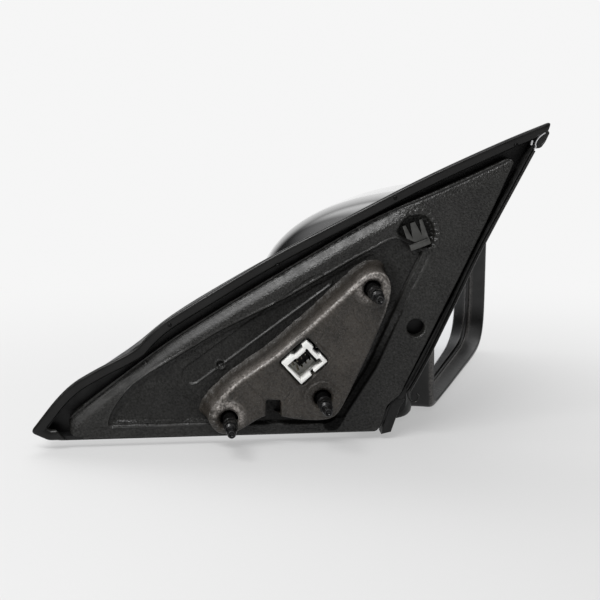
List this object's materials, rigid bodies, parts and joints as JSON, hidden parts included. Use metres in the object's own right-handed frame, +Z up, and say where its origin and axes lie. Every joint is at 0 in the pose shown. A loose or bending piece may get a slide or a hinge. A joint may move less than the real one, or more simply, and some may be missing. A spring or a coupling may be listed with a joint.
{
  "type": "car door mirror",
  "caption": "Power-adjusted right-hand door mirror: triangular sail base with studs, gasket and plug, and a folding head that holds a two-axis driven glass.",
  "frame": {"origin": "centroid of the three mounting studs, on the gasket face that meets the door", "axes": "+X rearward on the car, +Y outboard away from the door, +Z up"},
  "size_m": [0.2868, 0.231, 0.1716],
  "materials": {
    "die_cast": "rough die-cast",
    "bracket_skin": "wrinkled, speckled skin",
    "gasket_foam": "pebble-grained foam skin",
    "cover_plastic": "fine moulded texture",
    "seal_rubber": "satin rubber",
    "black_steel": "black oxide",
    "bright_steel": "bright",
    "collar_nylon": "black nylon",
    "connector_white": "natural nylon",
    "contact_metal": "tinned",
    "cable_black": "taped cable",
    "detent_plastic": "acetal",
    "frame_plastic": "glass-filled nylon",
    "gloss_black": "gloss paint",
    "bezel_plastic": "fine grained",
    "actuator_plastic": "moulded",
    "gear_plastic": "acetal",
    "worm_brass": "machined",
    "heater_film": "printed film",
    "mirror_face": "silvered glass"
  },
  "bodies": {
    "base": {"base_bracket": "die_cast", "bracket_pad": "bracket_skin", "foam_gasket": "gasket_foam", "sail_cover": "cover_plastic", "door_seal": "seal_rubber", "window_seal": "seal_rubber", "seal_pins": "collar_nylon", "seal_end_clip": "bright_steel", "mounting_studs": "black_steel", "stud_collars": "collar_nylon", "connector_housing": "connector_white", "connector_pins": "contact_metal", "retaining_clip": "black_steel", "cover_screws": "bright_steel", "door_harness": "cable_black", "pivot_shaft": "bright_steel", "spring_retainer": "bright_steel", "detent_ring": "detent_plastic", "pivot_gasket": "seal_rubber"},
    "head": {"head_frame": "frame_plastic", "head_shell": "gloss_black", "bezel": "bezel_plastic", "neck_cover": "bezel_plastic", "fold_spring": "bright_steel", "bezel_screws": "bright_steel", "actuator_case": "actuator_plastic", "actuator_cover": "actuator_plastic", "actuator_screws": "bright_steel", "motor_tilt": "bright_steel", "motor_pan": "bright_steel", "head_harness": "cable_black"},
    "gimbal": {"pivot_ring": "gear_plastic"},
    "glass": {"glass_carrier": "frame_plastic", "heater_pad": "heater_film", "mirror_glass": "mirror_face"},
    "tilt_screw": {"jack_tilt": "gear_plastic"},
    "pan_screw": {"jack_pan": "gear_plastic"},
    "tilt_wheel": {"gear_tilt": "gear_plastic"},
    "pan_wheel": {"gear_pan": "gear_plastic"},
    "tilt_worm": {"worm_tilt": "worm_brass"},
    "pan_worm": {"worm_pan": "worm_brass"}
  },
  "joints": [
    {"name": "fold", "type": "hinge", "parent": "base", "child": "head", "pos_m": [0.048, 0.043, 0], "axis": [0, 0, 1], "range_deg": [-55, 45]},
    {"name": "tilt", "type": "hinge", "parent": "head", "child": "gimbal", "pos_m": [0.09084, 0.12452, 0.02], "axis": [0.3827, 0.9239, 0], "range_deg": [-8, 8]},
    {"name": "pan", "type": "hinge", "parent": "gimbal", "child": "glass", "pos_m": [0.09084, 0.12452, 0.02], "axis": [0, 0, 1], "range_deg": [-8, 8]},
    {"name": "tilt_screw_slide", "type": "slide", "parent": "head", "child": "tilt_screw", "axis": [0.9239, -0.3827, 0], "range_m": [-0.0036, 0.0036]},
    {"name": "pan_screw_slide", "type": "slide", "parent": "head", "child": "pan_screw", "axis": [0.9239, -0.3827, 0], "range_m": [-0.0036, 0.0036]},
    {"name": "tilt_wheel_spin", "type": "hinge", "parent": "head", "child": "tilt_wheel", "pos_m": [0.09084, 0.12452, -0.005], "axis": [0.9239, -0.3827, 0], "continuous": true},
    {"name": "pan_wheel_spin", "type": "hinge", "parent": "head", "child": "pan_wheel", "pos_m": [0.1004, 0.14762, 0.02], "axis": [0.9239, -0.3827, 0], "continuous": true},
    {"name": "tilt_worm_spin", "type": "hinge", "parent": "head", "child": "tilt_worm", "pos_m": [0.07652, 0.13045, -0.01545], "axis": [0.3827, 0.9239, 0], "continuous": true},
    {"name": "pan_worm_spin", "type": "hinge", "parent": "head", "child": "pan_worm", "pos_m": [0.09008, 0.1632, 0.02], "axis": [0, 0, 1], "continuous": true}
  ],
  "couplings": [
    {"joint": "tilt_screw_slide", "follows": "tilt", "m_per_rad": -0.025},
    {"joint": "pan_screw_slide", "follows": "pan", "m_per_rad": -0.025},
    {"joint": "tilt_wheel_spin", "follows": "tilt", "ratio": 15.708},
    {"joint": "pan_wheel_spin", "follows": "pan", "ratio": 15.708},
    {"joint": "tilt_worm_spin", "follows": "tilt", "ratio": -251.33},
    {"joint": "pan_worm_spin", "follows": "pan", "ratio": -251.33}
  ]
}
